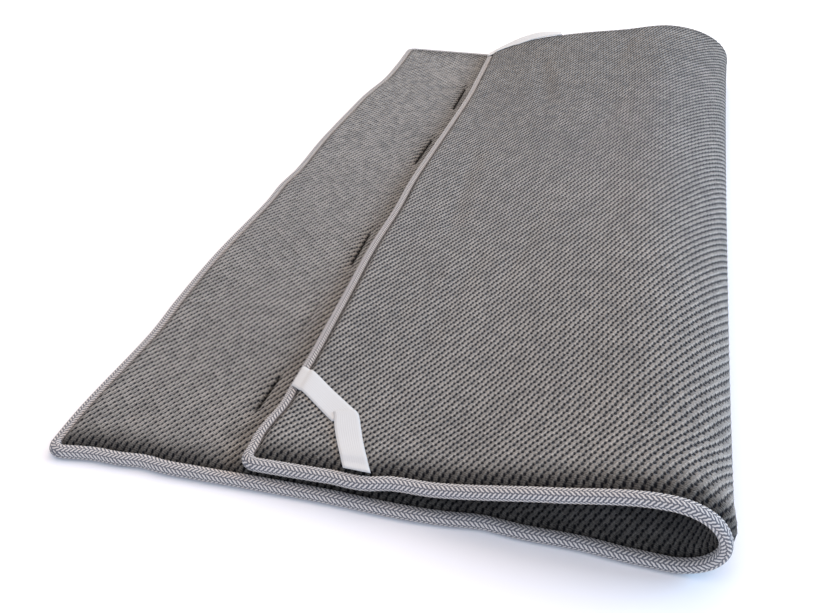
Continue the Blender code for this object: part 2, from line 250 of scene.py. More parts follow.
BACK_STRAP = (
    Rung(0.268, 1.905, 0.268, 1.942, -0.0060, -0.0060),
    Rung(0.276, 1.906, 0.275, 1.943, -0.0010, -0.0010),
    Rung(0.310, 1.922, 0.305, 1.958, 0.001, 0.004),
    Rung(0.360, 1.938, 0.352, 1.974, 0.002, 0.008),
    Rung(0.410, 1.950, 0.402, 1.986, 0.002, 0.007),
    Rung(0.452, 1.957, 0.444, 1.993, 0.001, 0.002),
    Rung(0.482, 1.960, 0.474, 1.996, -0.0010, -0.0040),
)
STRAP_ROWS_PER_RUNG = 8
STRAP_COLUMNS = 9
STRAP_WIDTH = 0.037
FRONT_STRAP_LENGTH = 0.285
BACK_STRAP_LENGTH = 0.215


def linear(hex_colour):
    """An sRGB hex colour as linear red, green, blue and alpha."""
    parts = [int(hex_colour[i : i + 2], 16) / 255 for i in (0, 2, 4)]
    return tuple(c / 12.92 if c <= 0.04045 else ((c + 0.055) / 1.055) ** 2.4 for c in parts) + (1.0,)


def colour_property(name, description, hex_colour):
    """A colour that the user can change, from its sRGB hex value."""
    return FloatVectorProperty(
        name=name,
        description=description,
        default=linear(hex_colour),
        size=4,
        min=0.0,
        max=1.0,
        subtype="COLOR",
    )


def length_property(name, description, default):
    """A length in metres that the user can change."""
    return FloatProperty(
        name=name,
        description=description,
        default=default,
        min=0.0,
        unit="LENGTH",
        precision=5,
    )


class KnitSettings(bpy.types.PropertyGroup):
    """The spacer knit's pattern and colours"""

    column_pitch: length_property("Column pitch", "Distance between the knit's columns", 0.00685)
    cell_length: length_property("Cell length", "Length of one hole and rib along a column", 0.0195)
    relief: length_property("Relief", "How deep the knit's holes look", 0.0020)
    yarn: colour_property("Yarn", "The ribs' melange grey", "868077")
    # Painted shade: the dark colour that the grooves' bottoms are mixed towards.
    shade: colour_property("Ground", "The lower yarns beside the holes", "2E2C2E")
    # Painted shade: the near-black colour of the holes, standing in for the shade inside the knit.
    hole: colour_property("Holes", "The dark inside of the spacer knit", "0B0C0F")


class TapeSettings(bpy.types.PropertyGroup):
    """The herringbone tape's pattern and colours"""

    rib_pitch: length_property("Rib pitch", "Distance between the herringbone's ribs along the tape", 0.0066)
    zone_width: length_property("Zone width", "Width of one slant of the herringbone", 0.0074)
    yarn: colour_property("Yarn", "The tape's light grey yarn", "D0CAC2")
    furrow: colour_property("Furrows", "The shade between the tape's ribs", "606064")


class StrapSettings(bpy.types.PropertyGroup):
    """The elastic straps' thickness, pattern and colours"""

    thickness: length_property("Thickness", "Thickness of the woven elastic", 0.0012)
    rib_pitch: length_property("Rib pitch", "Distance between the elastic's lengthwise ribs", 0.0031)
    yarn: colour_property("Yarn", "The elastic's white yarn", "C3C2BE")
    furrow: colour_property("Furrows", "The shade between the elastic's ribs", "C0BFBC")


class SewingSettings(bpy.types.PropertyGroup):
    """The stitches' sizes and colour"""

    pitch: length_property("Pitch", "Distance from one stitch to the next", 0.0048)
    length: length_property("Length", "Length of one stitch", 0.0036)
    width: length_property("Thread", "Thickness of the sewing thread", 0.0010)
    thread: colour_property("Thread colour", "The light grey sewing thread", "CAC5C1")


class StageSettings(bpy.types.PropertyGroup):
    """The floor and the camera"""

    floor: colour_property("Floor", "The plain pale floor", "F6F6F6")
    floor_radius: length_property("Floor radius", "Radius of the floor", 14.0)
    lens: FloatProperty(name="Lens", description="Focal length in millimetres", default=41.56, unit="CAMERA")
    pitch: FloatProperty(
        name="Camera pitch",
        description="How far the camera looks down",
        default=math.radians(32.12),
        subtype="ANGLE",
    )
    turn: FloatProperty(
        name="Camera turn",
        description="How far the camera stands to the right of the front",
        default=math.radians(14.9),
        subtype="ANGLE",
    )
    place: FloatVectorProperty(
        name="Camera place",
        description="Where the camera stands",
        default=(0.307, -1.891, 0.9266),
        subtype="TRANSLATION",
        unit="LENGTH",
    )


# Shape of the folded cloth.


def smooth_step(value):
    """0 below 0, 1 above 1, and a smooth rise between them."""
    value = min(max(value, 0.0), 1.0)
    return value * value * (3.0 - 2.0 * value)


def through(knots, values, place, last_slope=None):
    """A smooth curve through the values at the knots, read at one place, level past its ends."""
    if place <= knots[0]:
        return values[0]
    if place >= knots[-1]:
        return values[-1]
    last = len(knots) - 1
    at = max(i for i in range(last) if knots[i] <= place)

    def slope(i):
        if i == last and last_slope is not None:
            return last_slope
        before, after = max(i - 1, 0), min(i + 1, last)
        return (values[after] - values[before]) / (knots[after] - knots[before])

    span = knots[at + 1] - knots[at]
    t = (place - knots[at]) / span
    start = values[at] * (1 + 2 * t) * (1 - t) ** 2 + slope(at) * span * t * (1 - t) ** 2
    end = values[at + 1] * t * t * (3 - 2 * t) - slope(at + 1) * span * t * t * (1 - t)
    return start + end


@functools.lru_cache(maxsize=None)
def edge_at(points, along):
    """Where a wavy edge lies at a place along it."""
    return through(*zip(*points), along)


@functools.lru_cache(maxsize=None)
def section_at(depth):
    """The fold's cross-section at a distance from the front."""
    depths = [row.depth for row in SECTIONS]
    return Section(*[through(depths, column, depth) for column in zip(*SECTIONS)])


def flap_height(section, part):
    """Height of the cloth's middle at part of the way from the flap's free edge, 0, to the crown, 1."""
    heights = (FLAP_EDGE_Z, section.low, section.middle, section.high, section.crown_z)
    return through((0.0, 0.25, 0.5, 0.75, 1.0), heights, part, last_slope=0.0)


def crease_depth(creases, x, y):
    """How deep the creases dent the cloth at a place: round-bottomed, fading out at both ends."""
    deepest = 0.0
    for crease in creases:
        reach = crease.half_width
        if not crease.y - reach < y < crease.end_y + reach:
            continue
        start = Vector((crease.x, crease.y))
        run = Vector((crease.end_x, crease.end_y)) - start
        along = (Vector((x, y)) - start).dot(run) / run.length_squared
        nearest = start + run * min(max(along, 0.0), 1.0)
        away = (Vector((x, y)) - nearest).length / reach
        deepest = max(deepest, crease.deep * (1.0 - smooth_step(away)))
    return deepest


def edge_shift(front, back, depth):
    """How far a row of the cloth is moved along Y, so that its front and back edges lie where they do."""
    near_front = 1 - smooth_step(depth / EDGE_FADE)
    near_back = 1 - smooth_step((PAD_LENGTH - depth) / EDGE_FADE)
    return front * near_front + back * near_back


def cloth_point(turn, depth):
    """The middle of the cloth, as x, y, z and the dent in its top.

    turn is 0 to 1 on the lower layer, 1 to 2 round the foot, 2 to 3 over the shoulder, 3 to 4 on the flap.
    """
    section = section_at(depth)
    left, flap = edge_at(LEFT_EDGE, depth), edge_at(FLAP_EDGE, depth)
    if turn <= 1.0:
        x = left + (section.foot - left) * turn
        dent = max(crease_depth(LOWER_CREASES, x, depth), crease_depth(PINCHES, x, depth))
        shift = edge_shift(edge_at(FRONT_EDGE, x), BACK_EDGE_BULGE, depth)
        return Vector((x, depth + shift, HALF)), dent
    if turn <= 3.0:
        angle = (turn - 1.0) * math.pi / 2
        base_x, base_z = (section.foot, HALF) if turn <= 2.0 else (section.crown, section.crown_z)
        x = base_x + (section.bend - base_x) * math.sin(angle)
        z = section.bend_z + (base_z - section.bend_z) * abs(math.cos(angle))
        shift = edge_shift(edge_at(FRONT_EDGE, section.foot), BACK_EDGE_BULGE, depth)
        return Vector((x, depth + shift, z)), 0.0
    part = 4.0 - turn
    x = flap + (section.crown - flap) * part
    z = flap_height(section, part) - crease_depth(FLAP_CREASES, x, depth)
    front = edge_at(FRONT_EDGE, section.foot) * part + FLAP_FRONT_SET_BACK * (1 - part)
    front += edge_at(FLAP_FRONT_WAVE, x)
    back = BACK_EDGE_BULGE * part - FLAP_BACK_SET_BACK * (1 - part)
    return Vector((x, depth + edge_shift(front, back, depth), z)), 0.0


def round_corner(across, along):
    """Moves a point near a square corner so that the corner is round. Both distances are from cut edges."""
    if across >= CORNER_RADIUS or along >= CORNER_RADIUS:
        return across, along
    p = 1 - across / CORNER_RADIUS
    q = 1 - along / CORNER_RADIUS
    round_p = p * math.sqrt(1 - q * q / 2)
    round_q = q * math.sqrt(1 - p * p / 2)
    return CORNER_RADIUS * (1 - round_p), CORNER_RADIUS * (1 - round_q)


def steps_between(start, end, step):
    """Places after start and before end, evenly spaced at about the step."""
    count = max(1, round((end - start) / step))
    return [start + (end - start) * i / count for i in range(1, count)]


def grid_columns():
    """The grid's columns, left edge to flap edge, as (turn, distance from the nearest side edge)."""
    lower = list(RIM_RINGS) + steps_between(RIM_SWELL, FINE_FROM, COARSE_STEP) + [FINE_FROM]
    lower += steps_between(FINE_FROM, FINE_TO, FINE_STEP) + [FINE_TO]
    lower += steps_between(FINE_TO, LOWER_SPAN, COARSE_STEP)
    columns = [(x / LOWER_SPAN, x) for x in lower]
    columns += [(1 + i / FOOT_STEPS, LOWER_SPAN) for i in range(FOOT_STEPS)]
    columns += [(2 + i / SHOULDER_STEPS, LOWER_SPAN) for i in range(SHOULDER_STEPS)]
    last = 1 - RIM_SWELL / FLAP_SPAN
    columns += [(3 + last * i / FLAP_STEPS, FLAP_SPAN) for i in range(FLAP_STEPS)]
    columns += [(4 - ring / FLAP_SPAN, ring) for ring in reversed(RIM_RINGS)]
    return columns


def grid_rows():
    """The grid's rows, front to back, as distances from the front edge."""
    inner = PAD_LENGTH - 2 * RIM_SWELL
    rows = list(RIM_RINGS)
    rows += [RIM_SWELL + inner * i / LENGTH_STEPS for i in range(1, LENGTH_STEPS)]
    rows += [PAD_LENGTH - ring for ring in reversed(RIM_RINGS)]
    return rows


def half_thickness(from_side, from_end, side_crest=SIDE_CREST):
    """How far the panel's outer and inner faces lie from its middle, at distances from its cut edges."""
    swollen, settled = 1.0, 1.0
    for distance, crest in ((from_side, side_crest), (from_end, END_CREST)):
        swollen *= smooth_step((distance - RIM_FLAT) / (crest - RIM_FLAT))
        settled *= smooth_step((distance - crest) / (RIM_SWELL - crest))
    return (
        RIM_HALF + (HALF + CREST_RISE * (1 - settled) - RIM_HALF) * swollen,
        RIM_HALF + (HALF - RIM_HALF) * swollen,
    )


def place_on_cloth(turn, from_side, depth):
    """Lays a grid point on the folded cloth, whose corners are round.

    Gives the point, how far the top and the underside lie from it, and how far it is then moved upwards. The
    outer face is the cloth's top on the lower layer and its underside on the flap.
    """
    from_end = min(depth, PAD_LENGTH - depth)
    across, along = round_corner(from_side, from_end)
    if turn < 1.0:
        turn += (across - from_side) / LOWER_SPAN
    elif turn > 3.0:
        turn -= (across - from_side) / FLAP_SPAN
    depth += (along - from_end) * (1 if depth < PAD_LENGTH / 2 else -1)
    point, dent = cloth_point(turn, depth)
    outer, inner = half_thickness(from_side, from_end, LEFT_CREST if turn <= 1.0 else SIDE_CREST)
    turned = smooth_step(turn - 1.0)
    if turn <= 1.0:
        faded = smooth_step((point.x - CREST_FADE_FROM) / (CREST_FADE_TO - CREST_FADE_FROM))
        outer -= max(outer - HALF, 0.0) * faded
    else:
        settled = smooth_step(min(from_side, from_end) / RIM_SWELL)
        point.z += SURFACE_WAVE * settled * noise.noise(point / SURFACE_WAVE_SPAN)
    sink = EDGE_SINK * (1 - smooth_step(min(from_side, from_end) / DROOP_SPAN))
    droop = (BACK_DROOP - EDGE_SINK) * (1 - smooth_step((PAD_LENGTH - depth) / DROOP_SPAN))
    top = outer + (inner - outer) * turned - dent
    under = inner + (outer - inner) * turned
    return point, top, under, (sink + droop) * turned - sink * (1 - turned)


def build_middle():
    """The cloth's middle as a grid, and a table [row][column] of (vertex, to its top, to its underside)."""
    columns, rows = grid_columns(), grid_rows()
    bm = bmesh.new()
    table, moves = [], []
    for depth in rows:
        row = []
        for turn, from_side in columns:
            point, top, under, move = place_on_cloth(turn, from_side, depth)
            row.append((bm.verts.new(point), top, under))
            moves.append((row[-1][0], move))
        table.append(row)
    for row, following in zip(table, table[1:]):
        for i in range(len(columns) - 1):
            bm.faces.new((row[i][0], row[i + 1][0], following[i + 1][0], following[i][0]))
    bm.normal_update()
    for vert, move in moves:
        vert.co += vert.normal * move
    bm.normal_update()
    return bm, table


def arc_lengths(row):
    """Distances along a row of the table from its left end."""
    lengths = [0.0]
    for before, after in zip(row, row[1:]):
        lengths.append(lengths[-1] + (after[0].co - before[0].co).length)
    return lengths


def border_of(bm):
    """The sheet's border in order, as (point, outward, up), with the cloth on the left."""
    bm.edges.ensure_lookup_table()
    edge = next(edge for edge in bm.edges if edge.is_boundary)
    start, vert = edge.link_loops[0].vert, edge.link_loops[0].link_loop_next.vert
    ring = [start]
    while vert is not start:
        ring.append(vert)
        edge = next(other for other in vert.link_edges if other.is_boundary and other is not edge)
        vert = edge.other_vert(vert)
    stations = []
    for i, vert in enumerate(ring):
        ahead = (ring[(i + 1) % len(ring)].co - vert.co).normalized()
        behind = (vert.co - ring[i - 1].co).normalized()
        outward = (ahead + behind).cross(vert.normal).normalized()
        stations.append((vert.co.copy(), outward, vert.normal.copy()))
    return stations


# Making objects and materials.


def finished(obj, *nodes, slot):
    """Says which body the piece rides on and which CAD nodes it stands for. Its slot is not used."""
    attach(obj, "root")
    if nodes:
        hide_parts(*nodes)


def object_of(name, data, material=None):
    """A mesh, a light or a camera as a named object in the scene."""
    if material:
        data.materials.append(material)
    made = bpy.data.objects.new(name, data)
    bpy.context.scene.collection.objects.link(made)
    return made


def object_from(name, bm, material):
    """The bmesh as a named object, moved to stand over the origin."""
    bmesh.ops.translate(bm, verts=bm.verts, vec=-ORIGIN)
    mesh = bpy.data.meshes.new(name)
    bm.to_mesh(mesh)
    bm.free()
    mesh.shade_smooth()
    return object_of(name, mesh, material)


def add_node(tree, kind, inputs=None, **settings):
    """Adds a node with its settings. inputs maps a socket's name or number to a value or to an output."""
    made = tree.nodes.new(kind)
    for name, value in settings.items():
        setattr(made, name, value)
    for key, value in (inputs or {}).items():
        if isinstance(value, bpy.types.NodeSocket):
            tree.links.new(value, made.inputs[key])
        else:
            made.inputs[key].default_value = value
    return made


def new_material(name):
    """An empty material and its node tree."""
    material = bpy.data.materials.new(name)
    material.use_nodes = True
    material.node_tree.nodes.clear()
    return material, material.node_tree


def give_surface(tree, **inputs):
    """Adds the shader and the output. Each input is a value or an output, and its name has _ for a space."""
    named = {name.replace("_", " "): value for name, value in inputs.items()}
    shader = add_node(tree, "ShaderNodeBsdfPrincipled", named)
    add_node(tree, "ShaderNodeOutputMaterial", {"Surface": shader.outputs["BSDF"]})


def maths(tree, operation, *values):
    """A number worked out from one to three numbers or outputs."""
    return add_node(tree, "ShaderNodeMath", dict(enumerate(values)), operation=operation).outputs[0]


def ramp(tree, value, start, end, low=0.0, high=1.0):
    """low up to start, high from end, and a smooth rise between them."""
    inputs = {"Value": value, "From Min": start, "From Max": end, "To Min": low, "To Max": high}
    return add_node(tree, "ShaderNodeMapRange", inputs, interpolation_type="SMOOTHSTEP").outputs["Result"]


def mixed(tree, factor, first, second):
    """One colour turning into another. Sockets 6 and 7 are the node's colours."""
    return add_node(tree, "ShaderNodeMix", {0: factor, 6: first, 7: second}, data_type="RGBA").outputs[2]


def flat_place(tree, layer):
    """A UV layer's two coordinates, in metres."""
    place = add_node(tree, "ShaderNodeUVMap", uv_map=layer)
    split = add_node(tree, "ShaderNodeSeparateXYZ", {0: place.outputs[0]})
    return split.outputs[0], split.outputs[1]


def noised(tree, place, per_metre, detail):
    """A noise from 0 to 1 at a place, with so many grains to the metre."""
    inputs = {"Vector": place, "Scale": per_metre, "Detail": detail}
    return add_node(tree, "ShaderNodeTexNoise", inputs).outputs[0]


def toned(tree, colour, light):
    """A colour made lighter or darker."""
    return add_node(tree, "ShaderNodeVectorMath", {0: colour, "Scale": light}, operation="SCALE").outputs[0]


def bumped(tree, height, distance):
    """The surface's normal, tilted by a relief."""
    inputs = {"Strength": 1.0, "Distance": distance, "Height": height}
    return add_node(tree, "ShaderNodeBump", inputs).outputs[0]


def spot(tree, place, centre, radii, sharp, soft):
    """1 inside an ellipse on the flat, fading out between its sharp and soft shares of the radii."""
    scale = [1 / radius for radius in radii] + [0.0]
    shift = [-at / radius for at, radius in zip(centre, radii)] + [0.0]
    inputs = {0: place, 1: scale, 2: shift}
    local = add_node(tree, "ShaderNodeVectorMath", inputs, operation="MULTIPLY_ADD").outputs[0]
    away = add_node(tree, "ShaderNodeVectorMath", {0: local}, operation="LENGTH").outputs["Value"]
    return ramp(tree, away, sharp, soft, 1.0, 0.0)


# The knit's pattern in one cell, in millimetres from its middle: its hole's large and small ovals and the
# neck between them, and the two crests that catch the light. Each has its middle, its radii and where it
# starts to fade and has gone, as shares of the radii.
CELL_OVALS = (
    ((1.25, 3.6), (2.35, 3.8), 0.60, 1.08),
    ((-1.25, -3.6), (1.9, 3.3), 0.55, 1.08),
    ((0.5, -0.2), (1.3, 3.0), 0.2, 1.1),
    ((1.95, -4.4), (2.0, 4.2), 0.2, 1.1),
    ((4.9, 2.1), (1.8, 3.6), 0.2, 1.1),
)
YARN_SPACING = 2.8

# What a place's lightness is made of: a base, and shares of its cell's chance, its yarns' wave, its fibres
# and its crests. From FAR_FROM to FAR_TO along the panel the chance counts for more and the base for less.
BASE_LIGHT, CHANCE_LIGHT, YARN_LIGHT, FIBRE_LIGHT, CREST_LIGHT = 0.41, 0.40, 0.32, 0.50, 0.50
FAR_BASE_LOSS, FAR_CHANCE_GAIN = 0.17, 0.25
FAR_FROM, FAR_TO = -0.5, 0.8

# How much lighter or darker the patches are, how dull the fibres' sheen is, and how far the pattern's bump
# goes down or up, as shares of its relief.
PATCH_DARK, PATCH_LIGHT = 0.94, 1.05
KNIT_SHEEN = 0.25
GROOVE_RELIEF, HOLE_RELIEF, YARN_RELIEF = -0.40, -0.50, 0.08

# How far the knit's columns wander and how far apart the elastic's picks are, in metres. Then the noises'
# grains to the metre. The flecks are over 1 mm, many times a fibre's width, so that they show.
COLUMN_WANDER = 0.0007
PICK_SPACING = 0.0015
WANDER_GRAINS, KNIT_FLECKS, KNIT_PATCHES = 60.0, 800.0, 5.0
YARN_FLECKS, FLOOR_MOTTLE = 900.0, 3.0

# The tape: how light its plain borders are, kept nearly in the furrows' colour as painted shade beside the
# lip, how soft their inner edge is, how light its flecks are at least and how much lighter at most. Then how
# dark the thread's and the floor's flecks are, and the bumps' heights in metres.
BORDER_LIGHT, BORDER_BLEND = 0.10, 0.0004
FLECK_LIGHT, FLECK_GAIN = 0.75, 0.50
THREAD_DARK, FLOOR_DARK = 0.75, 0.985
TAPE_BUMP, ELASTIC_BUMP = 0.0003, 0.00005


def knit_material(settings):
    """Spacer knit of melange polyester: dull, with thick ribs and a deep dark hole in each cell.

    The grooves run slantwise, and each cell of one has a hole of two ovals joined end to end. The holes are
    painted near black and the grooves darker, as the shade inside the knit, and two crests in each cell
    lighter, as painted highlights. The pattern is drawn from the UV map in metres, and its yarns are
    YARN_SPACING mm apart, over twice their real size, so that they show. Towards the back the cells differ
    more, as the yarns are too fine to show there.
    """
    material, tree = new_material("spacer_knit_melange_polyester")
    u, v = flat_place(tree, "cloth")
    coordinates = add_node(tree, "ShaderNodeCombineXYZ", {0: u, 1: v}).outputs[0]
    wander = noised(tree, coordinates, WANDER_GRAINS, 1.0)
    drift = maths(tree, "MULTIPLY_ADD", wander, 2 * COLUMN_WANDER, -COLUMN_WANDER)
    u = maths(tree, "ADD", u, drift)
    row = maths(tree, "DIVIDE", v, settings.cell_length)
    less_row = maths(tree, "MULTIPLY", row, -1.0)
    s = maths(tree, "MULTIPLY_ADD", u, GROOVE_SLANT / settings.column_pitch, less_row)
    t = maths(tree, "MULTIPLY_ADD", u, (1 - GROOVE_SLANT) / settings.column_pitch, row)
    s, t = maths(tree, "ADD", s, 0.5), maths(tree, "ADD", t, 0.5)
    s_in = maths(tree, "SUBTRACT", maths(tree, "FRACT", s), 0.5)
    t_in = maths(tree, "SUBTRACT", maths(tree, "FRACT", t), 0.5)
    x = maths(tree, "MULTIPLY", maths(tree, "ADD", s_in, t_in), settings.column_pitch * 1000)
    y = maths(tree, "MULTIPLY_ADD", s_in, GROOVE_SLANT - 1, maths(tree, "MULTIPLY", t_in, GROOVE_SLANT))
    y = maths(tree, "MULTIPLY", y, settings.cell_length * 1000)
    place = add_node(tree, "ShaderNodeCombineXYZ", {0: x, 1: y}).outputs[0]
    large, small, neck, crest, far_crest = [spot(tree, place, *oval) for oval in CELL_OVALS]
    hole = maths(tree, "MAXIMUM", large, maths(tree, "MAXIMUM", small, maths(tree, "MULTIPLY", neck, 0.5)))
    crest = maths(tree, "MAXIMUM", crest, far_crest)
    swing = maths(tree, "SINE", maths(tree, "MULTIPLY", t_in, 2 * math.pi))
    beside = maths(tree, "ABSOLUTE", maths(tree, "MULTIPLY_ADD", swing, -GROOVE[1].aside, s_in))
    groove = ramp(tree, beside, 0.05, 0.30, 0.5, 0.0)

    # Each cell has its own lightness and starts its yarns at its own place.
    cell = {0: maths(tree, "FLOOR", s), 1: maths(tree, "FLOOR", t)}
    cell = add_node(tree, "ShaderNodeCombineXYZ", cell).outputs[0]
    chance = add_node(tree, "ShaderNodeTexWhiteNoise", {"Vector": cell}, noise_dimensions="2D")
    chance = chance.outputs["Value"]
    phase = maths(tree, "MULTIPLY_ADD", chance, 6.0, maths(tree, "MULTIPLY", x, 0.5))
    yarns = maths(tree, "SINE", maths(tree, "MULTIPLY_ADD", y, 2 * math.pi / YARN_SPACING, phase))
    fibres = noised(tree, coordinates, KNIT_FLECKS, 2.0)
    patches = noised(tree, coordinates, KNIT_PATCHES, 2.0)

    # Painted shade: the grooves are mixed towards the dark ground colour, as the shade along their bottoms.
    colour = mixed(tree, groove, tuple(settings.yarn), tuple(settings.shade))
    body = add_node(tree, "ShaderNodeTexCoord").outputs["Object"]
    far = ramp(tree, add_node(tree, "ShaderNodeSeparateXYZ", {0: body}).outputs["Y"], FAR_FROM, FAR_TO)
    light = maths(tree, "MULTIPLY", chance, maths(tree, "MULTIPLY_ADD", far, FAR_CHANCE_GAIN, CHANCE_LIGHT))
    light = maths(tree, "ADD", light, maths(tree, "MULTIPLY_ADD", far, -FAR_BASE_LOSS, BASE_LIGHT))
    light = maths(tree, "MULTIPLY_ADD", yarns, YARN_LIGHT, light)
    light = maths(tree, "MULTIPLY_ADD", ramp(tree, fibres, 0.3, 0.7), FIBRE_LIGHT, light)
    light = maths(tree, "MULTIPLY_ADD", crest, CREST_LIGHT, light)
    light = maths(tree, "MULTIPLY", light, ramp(tree, patches, 0.3, 0.7, PATCH_DARK, PATCH_LIGHT))
    shaded = add_node(tree, "ShaderNodeAttribute", attribute_name="shade").outputs["Fac"]
    lit = maths(tree, "SUBTRACT", 1.0, shaded)
    light = maths(tree, "MULTIPLY", light, lit)
    sheen = maths(tree, "MULTIPLY", lit, KNIT_SHEEN)

    depth = maths(tree, "MULTIPLY_ADD", groove, GROOVE_RELIEF, 1.0)
    depth = maths(tree, "MULTIPLY_ADD", hole, HOLE_RELIEF, depth)
    depth = maths(tree, "MULTIPLY_ADD", yarns, YARN_RELIEF, depth)
    # Painted shade: the holes take the near-black hole colour, for the shade inside the knit.
    give_surface(
        tree,
        Base_Color=mixed(tree, hole, toned(tree, colour, light), tuple(settings.hole)),
        Normal=bumped(tree, depth, settings.relief),
        Roughness=0.92,
        Specular_IOR_Level=sheen,
        Sheen_Weight=sheen,
        Sheen_Roughness=0.5,
    )
    return material


def tape_material(settings):
    """Herringbone tape of spun polyester: dull, with light plump ribs, dark furrows and plain borders."""
    material, tree = new_material("herringbone_tape_polyester")
    u, v = flat_place(tree, "tape")
    middle = maths(tree, "ABSOLUTE", maths(tree, "SUBTRACT", v, TAPE_WIDTH / 2))
    reach = settings.zone_width * RIB_ZONES / 2
    border = ramp(tree, middle, reach, reach + BORDER_BLEND, 0.0, BORDER_LIGHT)
    crest = add_node(tree, "ShaderNodeAttribute", attribute_name="crest").outputs["Fac"]
    coordinates = add_node(tree, "ShaderNodeCombineXYZ", {0: u, 1: v}).outputs[0]
    fibres = noised(tree, coordinates, YARN_FLECKS, 2.0)
    # Painted shade: the furrows between the ribs and the plain borders by the lip keep the dark furrow
    # colour.
    colour = mixed(tree, maths(tree, "MAXIMUM", crest, border), tuple(settings.furrow), tuple(settings.yarn))
    give_surface(
        tree,
        Base_Color=toned(tree, colour, maths(tree, "MULTIPLY_ADD", fibres, FLECK_GAIN, FLECK_LIGHT)),
        Normal=bumped(tree, fibres, TAPE_BUMP),
        Roughness=0.88,
        Specular_IOR_Level=0.25,
        Sheen_Weight=0.10,
    )
    return material


def elastic_material(settings):
    """Woven elastic: a bright white band with faint lengthwise ribs, slightly smoother than the tape.

    Its ribs are set by the rib pitch, and its crosswise picks are PICK_SPACING apart. Both are drawn two or
    three times as coarse as the real ones, so that they show.
    """
    material, tree = new_material("woven_elastic_white")
    u, v = flat_place(tree, "band")
    ribs = maths(tree, "SINE", maths(tree, "MULTIPLY", v, 2 * math.pi / settings.rib_pitch))
    picks = maths(tree, "SINE", maths(tree, "MULTIPLY", u, 2 * math.pi / PICK_SPACING))
    weave = maths(tree, "MULTIPLY_ADD", picks, 0.3, ribs)
    low = ramp(tree, weave, -1.1, 0.4, 0.85, 0.0)
    give_surface(
        tree,
        Base_Color=mixed(tree, low, tuple(settings.yarn), tuple(settings.furrow)),
        Normal=bumped(tree, weave, ELASTIC_BUMP),
        Roughness=0.70,
        Sheen_Weight=0.08,
    )
    return material


def thread_material(settings):
    """Spun polyester sewing thread: dull light grey, with the darker flecks of its twist."""
    material, tree = new_material("sewing_thread_polyester")
    place = add_node(tree, "ShaderNodeTexCoord").outputs["Object"]
    dark = tuple(c * THREAD_DARK for c in settings.thread[:3]) + (1.0,)
    colour = mixed(tree, noised(tree, place, YARN_FLECKS, 1.0), dark, tuple(settings.thread))
    give_surface(tree, Base_Color=colour, Roughness=0.8)
    return material


def floor_material(settings):
    """Matt studio paper: nearly white, with the faintest mottle."""
    material, tree = new_material("studio_paper_white")
    place = add_node(tree, "ShaderNodeTexCoord").outputs["Object"]
    dark = tuple(c * FLOOR_DARK for c in settings.floor[:3]) + (1.0,)
    colour = mixed(tree, noised(tree, place, FLOOR_MOTTLE, 2.0), dark, tuple(settings.floor))
    give_surface(tree, Base_Color=colour, Roughness=1.0, Specular_IOR_Level=0.0)
    return material


# The knit panel.


def top_covered(across, along):
    """Whether the modelled grooves cover the top face, at places from the left edge and from the front."""
    return (across < TOP_COVER) | ((across < MOUTH_COVER) & (along < MOUTH_DEPTH))


def top_pattern(across, along):
    """The knit pattern's place on the top face, for places from the left edge and from the front."""
    return across + GRAIN_LEAN * along, along


def outer_pattern(across, along):
    """The knit pattern's place on the underside, for places from the flap's edge and from the front."""
    return -(across / OUTER_STRETCH + GRAIN_LEAN * along), -along


def shell_of(table):
    """The panel's two faces and its cut edge, with UVs along the cloth."""
    shell = bmesh.new()
    layer = shell.loops.layers.uv.new("cloth")
    rows = grid_rows()
    top, under, uvs = [], [], {}
    for along, row in zip(rows, table):
        lengths = arc_lengths(row)
        top.append([])
        under.append([])
        for across, (vert, to_top, to_under) in zip(lengths, row):
            from_flap = lengths[-1] - across
            sunk = COVER_SINK * top_covered(across + COVER_MARGIN, along + COVER_MARGIN)
            top[-1].append(shell.verts.new(vert.co + vert.normal * (to_top - sunk)))
            uvs[top[-1][-1]] = top_pattern(across, along)
            sunk = COVER_SINK * (from_flap + COVER_MARGIN < OUTER_COVER)
            under[-1].append(shell.verts.new(vert.co - vert.normal * (to_under - sunk)))
            uvs[under[-1][-1]] = outer_pattern(from_flap, along)

    def add_face(*corners):
        face = shell.faces.new(corners)
        for loop in face.loops:
            loop[layer].uv = uvs[loop.vert]

    for r in range(len(table) - 1):
        for c in range(len(table[0]) - 1):
            add_face(top[r][c], top[r][c + 1], top[r + 1][c + 1], top[r + 1][c])
            add_face(under[r][c], under[r + 1][c], under[r + 1][c + 1], under[r][c + 1])
        add_face(top[r][0], top[r + 1][0], under[r + 1][0], under[r][0])
        add_face(under[r][-1], under[r + 1][-1], top[r + 1][-1], top[r][-1])
    for c in range(len(table[0]) - 1):
        add_face(under[0][c], under[0][c + 1], top[0][c + 1], top[0][c])
        add_face(top[-1][c], top[-1][c + 1], under[-1][c + 1], under[-1][c])
    return shell


def cloth_rows(table, from_flap):
    """Each row of the grid, as its places across and its points, directions up and distances to the face.

    The face is the underside for places from the flap's edge, or else the top.
    """
    rows = []
    for row in table:
        across = np.array(arc_lengths(row))
        values = [(*vert.co, *vert.normal, under if from_flap else top) for vert, top, under in row]
        values = np.array(values)
        if from_flap:
            across, values = across[-1] - across[::-1], values[::-1]
        rows.append((across, values))
    return rows


def on_cloth(rows, across, along):
    """Points, directions up and distances to the face, one row of seven numbers for each place."""
    depths = np.array(grid_rows())
    below = np.clip(np.searchsorted(depths, along, side="right") - 1, 0, len(depths) - 2)
    found = np.zeros((len(across), 7))
    for i in range(len(depths) - 1):
        chosen = np.nonzero(below == i)[0]
        share = (along[chosen] - depths[i]) / (depths[i + 1] - depths[i])
        for k in range(7):
            near, far = [np.interp(across[chosen], place, values[:, k]) for place, values in rows[i : i + 2]]
            found[chosen, k] = near + (far - near) * share
    return found


